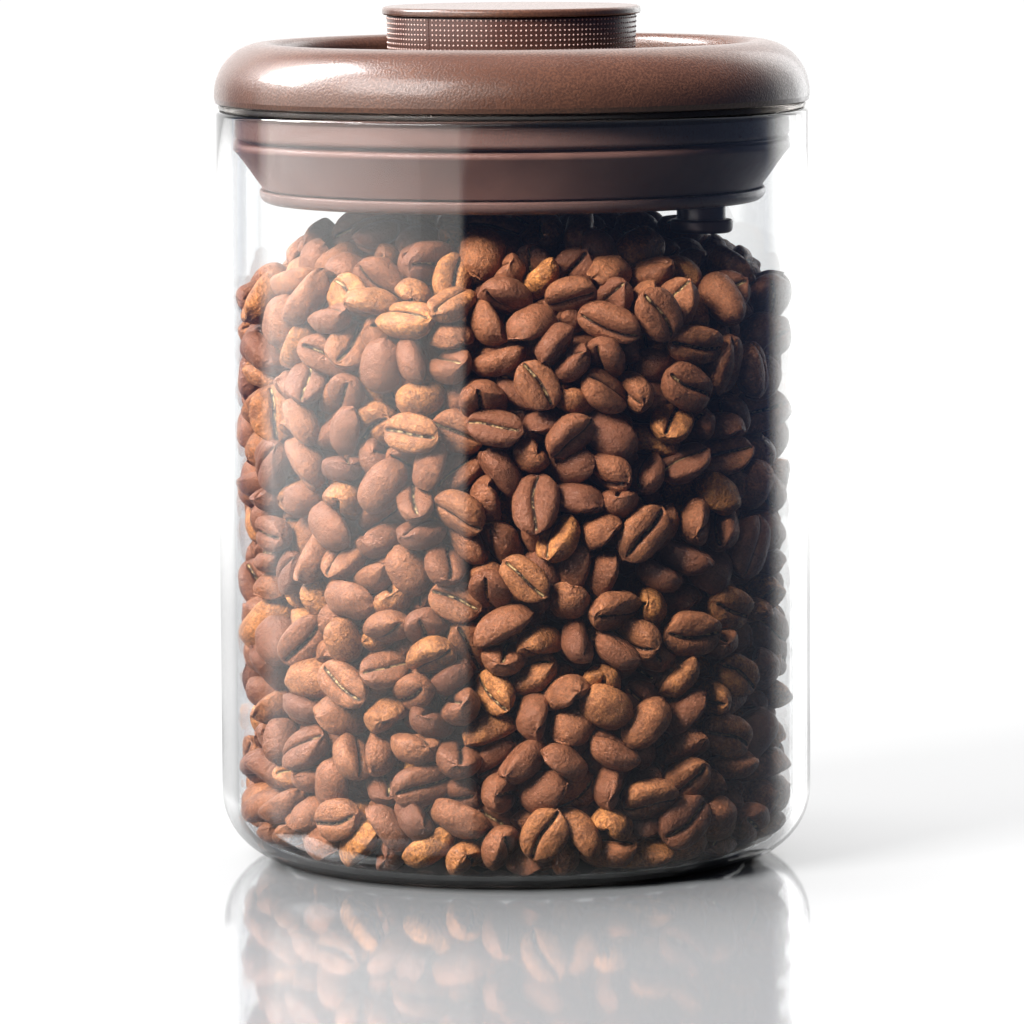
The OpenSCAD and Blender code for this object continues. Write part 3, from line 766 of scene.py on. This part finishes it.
def settle_beans(seed=11, rounds=150, spacing=7.2, hold_rounds=3):
    """Pushes overlapping beans apart inside the jar. Returns centres, rotations, sizes."""
    rng = np.random.default_rng(seed)
    centres, rotations, sizes = loose_lattice(rng, spacing)
    unevenness = 1.1
    heave = rng.normal(0.0, unevenness, len(centres))
    ball_r = (BALL_R * sizes)[:, None]
    lever = (BEAN_BALLS ** 2).sum() + 6.0
    neighbour_reach, search_every, give = 14.5, 5, 0.42
    for step in range(rounds):
        arms, balls = bean_balls(centres, rotations, sizes)
        if step % search_every == 0:
            gap = centres[:, None] - centres[None]
            near = np.argwhere(np.triu((gap ** 2).sum(-1) < neighbour_reach ** 2, 1))
            first, second = near[:, 0], near[:, 1]
        push = apart(balls, ball_r, first, second) * give + inward(balls, ball_r, heave)
        centres = centres + push.mean(1)
        rotations = turn_matrices(rotations, np.cross(arms, push).sum(1) / lever)
    for _ in range(hold_rounds):
        hold_in_glass(centres, rotations, sizes, ball_r)
    return centres, rotations, sizes


def bean_mesh(name, seed):
    """One bean: a domed back, a flatter face with a curved crease, and a little unevenness."""
    rng = np.random.default_rng(seed)
    rings, steps, middle_z = 26, 44, 1.05
    groove_w, hollow_w = 0.42, 1.3
    bend, shift = rng.uniform(-0.5, 0.5), rng.uniform(-0.35, 0.35)
    long_, wide = BEAN_LONG * rng.uniform(0.9, 1.04), BEAN_WIDE * rng.uniform(0.92, 1.05)
    lumps = rng.normal(0, 0.035, (5, 3))
    points, mask = [], []
    for i in range(rings + 1):
        u = -math.cos(math.pi * i / rings)
        girth = max(1 - abs(u) ** 2.6, 0.0) ** 0.5
        crease_y = shift + bend * math.sin(2.6 * u + 5 * shift) * 1.3
        for k in range(steps):
            t = 2 * math.pi * k / steps
            phi = t - 0.6 * math.sin(t + math.pi / 2)
            c, s = math.cos(phi), math.sin(phi)
            x, y = long_ * u, wide * girth * math.copysign(abs(c) ** 0.9, c)
            waves = ((j + 1, size, turn) for j, (size, turn, _) in enumerate(lumps))
            uneven = sum(size * math.sin(j * 1.3 * u + j * phi + turn * 40) for j, size, turn in waves)
            swell = 1 + uneven * 0.5
            groove = 0.0
            if s >= 0:
                z = BEAN_DOME * girth * s ** 0.95
            else:
                z = -BEAN_FLAT * girth ** 0.9 * abs(s) ** 0.72
                groove = math.exp(-((y - crease_y) / groove_w) ** 2) * min(1.0, (1 - abs(u)) * 9)
                hollow = math.exp(-((y - crease_y) / hollow_w) ** 2)
                z += BEAN_FLAT * (0.6 * groove + 0.2 * hollow) * girth ** 0.5
            points.append((x * MM * swell, y * MM * swell, (z * swell - middle_z) * MM))
            mask.append(groove)
    faces = []
    for i in range(rings):
        for k in range(steps):
            n = (k + 1) % steps
            faces.append((i * steps + k, i * steps + n, (i + 1) * steps + n, (i + 1) * steps + k))
    data = bpy.data.meshes.new(name)
    data.from_pydata(points, [], faces)
    data.attributes.new("groove", "FLOAT", "POINT").data.foreach_set("value", mask)
    data.shade_smooth()
    return data


def keep_inside(centres, rotations, sizes, kinds, clear=0.15, rounds=4):
    """Moves each bean in from the glass by what its mesh reaches past the wall, base or foot round."""
    every = 3
    for k, kind in enumerate(kinds):
        shape = np.array([vertex.co[:] for vertex in kind.vertices])[::every] / MM
        rows = np.arange(k, len(centres), len(kinds))
        arms = np.einsum("nij,kj->nki", rotations[rows], shape) * sizes[rows][:, None, None]
        for _ in range(rounds):
            points = centres[rows][:, None] + arms
            r = np.hypot(points[..., 0], points[..., 1])
            out = np.clip(r - (JAR_INNER_R - clear), 0, None).max(1)
            over_r = np.clip(r - FOOT_CORNER_R, 0, None)
            under_z = np.clip(FOOT_CORNER_Z - points[..., 2], 0, None)
            past = np.hypot(over_r, under_z) - (FOOT_INNER_ROUND - clear)
            deep = np.clip(past, 0, None) * (under_z > 0)
            centres[rows, :2] *= (1 - out / np.hypot(centres[rows, 0], centres[rows, 1]))[:, None]
            centres[rows, 2] += deep.max(1)
    return centres


def show_creases(centres, rotations, share=0.5, facing=0.2, seed=5):
    """Rolls some beans half a turn about their long axis, so that more creases face the glass."""
    rng = np.random.default_rng(seed)
    outward = centres * (1.0, 1.0, 0.0)
    outward /= np.linalg.norm(outward, axis=1)[:, None]
    domed = np.einsum("ni,ni->n", rotations[:, :, 2], outward) > facing
    roll = domed & (rng.random(len(centres)) < share)
    rotations[roll] = rotations[roll] @ np.diag((1.0, -1.0, -1.0))
    return rotations


def bean_finish():
    """Roasted bean: a brown of its own, mottled, with flecks of papery gold in a crease darkened by
    painted shade.
    """
    n = Nodes("bean")
    shader = n.shader(IOR=1.45, Specular_IOR_Level=0.4)
    each = n.add("ShaderNodeObjectInfo").outputs["Random"]
    tone = n.add("ShaderNodeValToRGB")
    n.link(each, tone.inputs["Fac"])
    stops = tone.color_ramp.elements
    stops[0].position, stops[0].color = 0.0, (0.15, 0.054, 0.03, 1)
    stops[1].position, stops[1].color = 1.0, (0.8, 0.31, 0.085, 1)
    for position, colour in ((0.4, (0.31, 0.112, 0.05, 1)), (0.8, (0.44, 0.165, 0.066, 1))):
        stops.new(position).color = colour
    own = n.add("ShaderNodeVectorMath", operation="ADD")
    n.link(n.place, own.inputs[0])
    n.link(each, own.inputs[1])
    own = own.outputs["Vector"]
    mottle = n.spread(n.noise(420.0, 5.0, 0.75, own), 0.36, 0.68)
    skin = n.blend(mottle, tone.outputs["Color"], (0.15, 0.05, 0.022))
    speckle = n.noise(1900.0, 3.0, 0.7)
    skin = n.blend(n.spread(speckle, 0.62, 0.38, 0.0, 0.7), skin, (0.1, 0.035, 0.016))
    groove = n.add("ShaderNodeAttribute", attribute_name="groove").outputs["Fac"]
    paper = n.spread(n.noise(650.0, 3.0, 0.65, own), 0.47, 0.6)
    # painted shade: the crease's near-black base; the gold flecks in it are the papery skin
    crease = n.blend(paper, (0.016, 0.008, 0.005), (0.56, 0.37, 0.17))
    # painted shade along the edges of the crease
    skin = n.blend(n.spread(groove, 0.35, 0.6), skin, (0.04, 0.015, 0.008))
    n.link(n.blend(n.spread(groove, 0.62, 0.9), skin, crease), shader.inputs["Base Color"])
    n.link(n.spread(mottle, 0.0, 1.0, 0.38, 0.54), shader.inputs["Roughness"])
    grain = n.bump(n.noise(1000.0, 3.0, 0.6), 0.3, 1.0, n.bump(speckle, 0.3))
    n.link(n.bump(n.noise(420.0, 2.0, 0.5), 0.25, 1.0, grain), shader.inputs["Normal"])
    return n.done(shader.outputs[0])


def coffee_beans():
    """Roasted beans that fill the jar up to the lid."""
    finish = bean_finish()
    first_seed = 40
    kinds = [bean_mesh(f"bean_kind_{k}", first_seed + k) for k in range(BEAN_KINDS)]
    for kind in kinds:
        kind.materials.append(finish)
    holder = bpy.data.objects.new("beans", None)
    bpy.context.scene.collection.objects.link(holder)
    centres, rotations, sizes = settle_beans()
    rotations = show_creases(centres, rotations)
    centres = keep_inside(centres, rotations, sizes, kinds)
    for k, (centre, rotation, size) in enumerate(zip(centres, rotations, sizes)):
        bean = bpy.data.objects.new(f"bean_{k:04d}", kinds[k % BEAN_KINDS])
        turn = Matrix([list(map(float, row)) for row in rotation]).to_4x4()
        bean.matrix_basis = Matrix.Translation(Vector(centre) * MM) @ turn @ Matrix.Scale(float(size), 4)
        bean.parent = holder
        bpy.context.scene.collection.objects.link(bean)


def painted_shade_filling():
    """A dark core in the beans and a dark disc in the glass base that stops stray light under them, both
    painted shade.
    """
    n = Nodes("core")
    shader = n.shader(Roughness=0.9)
    # near-black colour: painted shade deep in the heap and under the beans
    colour = n.blend(n.noise(120.0), (0.012, 0.006, 0.004), (0.03, 0.014, 0.009))
    n.link(colour, shader.inputs["Base Color"])
    finish = n.done(shader.outputs[0])
    core_low, core_sunk = 6, 4
    shade_r, shade_low, shade_high = 47.0, 0.9, 1.2
    for name, r, low, high, steps in (
        ("beans_core", CORE_R, core_low, CORE_TOP - core_sunk, 48),
        ("beans_shade", shade_r, shade_low, shade_high, 96),
    ):
        piece = turned(name, [(0, low), (r, low), (r, high), (0, high)], level=0.0, steps=steps)
        piece.data.materials.append(finish)


# ---------------------------------------------------------------- floor, light and camera

def seen_directly(tree):
    """1 for rays from the camera that met nothing but glass, 0 for light that lands on the object."""
    path = tree.nodes.new("ShaderNodeLightPath")
    seen = tree.nodes.new("ShaderNodeMath")
    seen.operation = "MAXIMUM"
    tree.links.new(path.outputs["Is Camera Ray"], seen.inputs[0])
    tree.links.new(path.outputs["Is Transmission Ray"], seen.inputs[1])
    for depth in ("Diffuse Depth", "Glossy Depth"):
        none = tree.nodes.new("ShaderNodeMath")
        none.operation = "LESS_THAN"
        tree.links.new(path.outputs[depth], none.inputs[0])
        none.inputs[1].default_value = 0.5
        both = tree.nodes.new("ShaderNodeMath")
        both.operation = "MULTIPLY"
        tree.links.new(seen.outputs[0], both.inputs[0])
        tree.links.new(none.outputs[0], both.inputs[1])
        seen = both
    return seen.outputs[0]


FLOOR_WHITE = (0.165, 0.165, 0.165)
FLOOR_DIM = (0.05, 0.05, 0.05)
# painted shadow under the jar: near black, fading out between the two distances on the next line
FLOOR_PAINTED_SHADOW = (0.006, 0.006, 0.006)
PAINTED_SHADOW_FADE = (0.048, 0.054)
FLOOR_FADE = (0.45, 0.9)
FLOOR_R = 0.95


def floor():
    """A white glossy floor that fades out some way from the jar. Its measures are in metres.

    It has a painted shadow under the jar, and is darker for what the object mirrors of it.
    """
    n = Nodes("floor")
    white = n.shader(Base_Color=(*FLOOR_WHITE, 1.0), IOR=1.5)
    n.link(n.spread(n.noise(6.0, 2.0), 0.3, 0.7, 0.05, 0.065), white.inputs["Roughness"])
    dim = n.shader(Roughness=0.05, IOR=1.5)
    distance = n.add("ShaderNodeVectorMath", operation="LENGTH")
    n.link(n.place, distance.inputs[0])
    # painted shadow under the jar, for every ray
    painted_shadow = n.spread(distance.outputs["Value"], *PAINTED_SHADOW_FADE)
    n.link(n.blend(painted_shadow, FLOOR_PAINTED_SHADOW, FLOOR_DIM), dim.inputs["Base Color"])
    lit = n.add("ShaderNodeMath", operation="MULTIPLY")
    n.link(seen_directly(n.tree), lit.inputs[0])
    n.link(painted_shadow, lit.inputs[1])
    either = n.add("ShaderNodeMixShader")
    n.link(lit.outputs[0], either.inputs["Fac"])
    n.link(dim.outputs[0], either.inputs[1])
    n.link(white.outputs[0], either.inputs[2])
    mix = n.add("ShaderNodeMixShader")
    n.link(n.spread(distance.outputs["Value"], *FLOOR_FADE), mix.inputs["Fac"])
    n.link(either.outputs[0], mix.inputs[1])
    n.link(n.add("ShaderNodeBsdfTransparent").outputs[0], mix.inputs[2])
    steps = 96
    angles = [2 * math.pi * k / steps for k in range(steps)]
    ring = [(FLOOR_R * math.cos(a), FLOOR_R * math.sin(a), 0.0) for a in angles]
    obj = mesh_object("floor", ring, [tuple(range(steps))])
    obj.data.materials.append(n.done(mix.outputs[0]))
    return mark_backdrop(obj)


DARK_STUDIO, WHITE_STUDIO, WHITE_SEEN = 0.09, 1.5, 1.05
BEHIND = (0.48, 0.66)
LEFT_DELAY = 0.22
CEILING, CEILING_STRENGTH = (0.3, 1.0), 0.1
VEIL_SIDE = (-0.02, 0.0)
VEIL_NEAR = (-0.95, -0.93)
VEIL_GROWS = -0.4
VEIL_FAR = (0.36, 0.46)
VEIL_TOP = (0.55, 0.75)
VEIL_STRENGTH = (1.3, 2.1)
SHADE_TINT, WHITE_TINT = (0.7, 0.95, 1.7, 1.0), (1.0, 0.995, 0.99, 1.0)


def surroundings():
    """White around the object where it is seen directly or through glass, and a darker studio elsewhere.

    The pairs of numbers above are parts of a direction's unit vector between which the light changes.
    """
    world = bpy.data.worlds.new("studio")
    bpy.context.scene.world = world
    world.use_nodes = True
    tree = world.node_tree
    tree.nodes.clear()

    def add(kind, **values):
        node = tree.nodes.new(kind)
        for key, value in values.items():
            setattr(node, key, value)
        return node

    direction = add("ShaderNodeSeparateXYZ")
    tree.links.new(add("ShaderNodeTexCoord").outputs["Generated"], direction.inputs[0])

    def ramp(value, low, high, out_low, out_high):
        node = add("ShaderNodeMapRange", interpolation_type="SMOOTHSTEP")
        tree.links.new(value, node.inputs["Value"])
        set_range(node, low, high, out_low, out_high)
        return node.outputs["Result"]

    # the white behind the object starts further round on the left than on the right
    start = add("ShaderNodeMath", operation="SUBTRACT")
    tree.links.new(direction.outputs["Y"], start.inputs[0])
    tree.links.new(ramp(direction.outputs["X"], -0.3, 0.3, LEFT_DELAY, 0.0), start.inputs[1])
    behind = ramp(start.outputs[0], *BEHIND, DARK_STUDIO, WHITE_STUDIO)
    above = ramp(direction.outputs["Z"], *CEILING, 0.0, CEILING_STRENGTH)
    total = add("ShaderNodeMath", operation="ADD")
    tree.links.new(behind, total.inputs[0])
    tree.links.new(above, total.inputs[1])

    # the wide softbox on the left, from VEIL_NEAR to VEIL_FAR, which only shows as a mirror image
    veil = add("ShaderNodeLightPath").outputs["Is Glossy Ray"]
    for factor in (
        ramp(direction.outputs["X"], *VEIL_SIDE, 1.0, 0.0),
        ramp(direction.outputs["Y"], *VEIL_NEAR, 0.0, 1.0),
        ramp(direction.outputs["Y"], VEIL_NEAR[1], VEIL_GROWS, *VEIL_STRENGTH),
        ramp(direction.outputs["Y"], *VEIL_FAR, 1.0, 0.0),
        ramp(direction.outputs["Z"], *VEIL_TOP, 1.0, 0.0),
    ):
        product = add("ShaderNodeMath", operation="MULTIPLY")
        tree.links.new(veil, product.inputs[0])
        tree.links.new(factor, product.inputs[1])
        veil = product.outputs[0]
    studio = add("ShaderNodeMath", operation="ADD")
    tree.links.new(total.outputs[0], studio.inputs[0])
    tree.links.new(veil, studio.inputs[1])

    strength = add("ShaderNodeMix", data_type="FLOAT")
    tree.links.new(seen_directly(tree), strength.inputs["Factor"])
    tree.links.new(studio.outputs[0], strength.inputs[2])
    strength.inputs[3].default_value = WHITE_SEEN
    background = add("ShaderNodeBackground")
    tint = add("ShaderNodeMix", data_type="RGBA")
    tree.links.new(ramp(strength.outputs[0], DARK_STUDIO, 0.5, 0.0, 1.0), tint.inputs["Factor"])
    tint.inputs[6].default_value = SHADE_TINT
    tint.inputs[7].default_value = WHITE_TINT
    tree.links.new(tint.outputs[2], background.inputs["Color"])
    tree.links.new(strength.outputs[0], background.inputs["Strength"])
    tree.links.new(background.outputs[0], add("ShaderNodeOutputWorld").inputs["Surface"])


LAMP_AIM = Vector((0.0, 0.0, 0.08))


def softbox(name, azimuth, elevation, distance, width, height, power, only=None):
    """An area lamp that faces the object. Azimuth 0 is in front of it and 90 on its right.

    It may give soft light only, or show as a highlight only.
    """
    a, e = math.radians(azimuth), math.radians(elevation)
    data = bpy.data.lights.new(name, "AREA")
    data.shape = "RECTANGLE"
    data.size, data.size_y = width, height
    data.energy = power
    lamp = bpy.data.objects.new(name, data)
    away = Vector((math.sin(a) * math.cos(e), -math.cos(a) * math.cos(e), math.sin(e)))
    lamp.location = LAMP_AIM + away * distance
    lamp.rotation_mode = "QUATERNION"
    lamp.rotation_quaternion = away.to_track_quat("Z", "Y")
    lamp.visible_camera = False
    lamp.visible_glossy = only != "soft"
    lamp.visible_diffuse = only != "highlight"
    bpy.context.scene.collection.objects.link(lamp)


def lights():
    """Softboxes on the left, in front, overhead and behind on the right.

    Soft light and highlights come from separate lamps, so that the two can be set apart.
    """
    # azimuth and elevation in degrees, distance, width and height in metres, power in watts
    softbox("key_soft", -70, 20, 1.1, 1.6, 1.2, 4.0, only="soft")
    softbox("key_hot", -107, 41, 1.2, 0.5, 0.75, 34.0, only="highlight")
    softbox("key_side", -98, 44, 1.2, 0.5, 0.5, 9.0, only="soft")
    softbox("overhead", 180, 82, 1.1, 0.5, 0.5, 32.0, only="soft")
    softbox("key_front", -46, 38, 1.2, 0.4, 0.4, 51.0, only="soft")
    softbox("key_gloss", -50, 36, 1.2, 0.8, 0.6, 12.0, only="highlight")
    softbox("right_rim", 150, 14, 1.3, 0.4, 1.0, 2.0)


def camera():
    """A long lens, a little above the object, turned a touch about its own axis."""
    at = Vector((0.0, -1.36135, 0.213794))
    aim = Vector((-0.000525, 0.0, 0.06981))
    roll = math.radians(-0.3836)
    forward = (aim - at).normalized()
    right = forward.cross(Vector((0, 0, 1))).normalized()
    up = right.cross(forward)
    side = right * math.cos(roll) + up * math.sin(roll)
    top = up * math.cos(roll) - right * math.sin(roll)
    data = bpy.data.cameras.new("camera")
    data.lens = 236.55
    data.sensor_width = 36.0
    data.clip_start, data.clip_end = 0.05, 50.0
    obj = bpy.data.objects.new("camera", data)
    obj.matrix_world = Matrix((
        (side.x, top.x, -forward.x, at.x),
        (side.y, top.y, -forward.y, at.y),
        (side.z, top.z, -forward.z, at.z),
        (0, 0, 0, 1),
    ))
    bpy.context.scene.collection.objects.link(obj)
    bpy.context.scene.camera = obj


def picture():
    """Plain colours and enough bounces for two walls of glass."""
    scene = bpy.context.scene
    scene.view_settings.view_transform = "Standard"
    scene.view_settings.look = "None"
    scene.cycles.use_denoising = True
    scene.cycles.max_bounces = 18
    scene.cycles.diffuse_bounces = 4
    scene.cycles.glossy_bounces = 6
    scene.cycles.transmission_bounces = 14
    scene.cycles.transparent_max_bounces = 24
    scene.cycles.caustics_reflective = False
    scene.cycles.caustics_refractive = False
    scene.cycles.sample_clamp_indirect = 6.0


# ---------------------------------------------------------------- the whole object

camera()
picture()
surroundings()
lights()
floor()

node_slot = {}
for part in frame["record"]["subparts"]:
    node_slot[part["node"]] = part.get("material_slot")
for name, obj in frame["nodes"].items():
    obj.data.materials.clear()
    obj.data.materials.append(FINISH[node_slot.get(name) or "inner_plastic"])

glass_jar()
rim_gasket()
lid_shell()
plug_body()
main_seal()
knob_cap()
grip_band()
release_button()
release_valve()
release_spring()
coffee_beans()
painted_shade_filling()
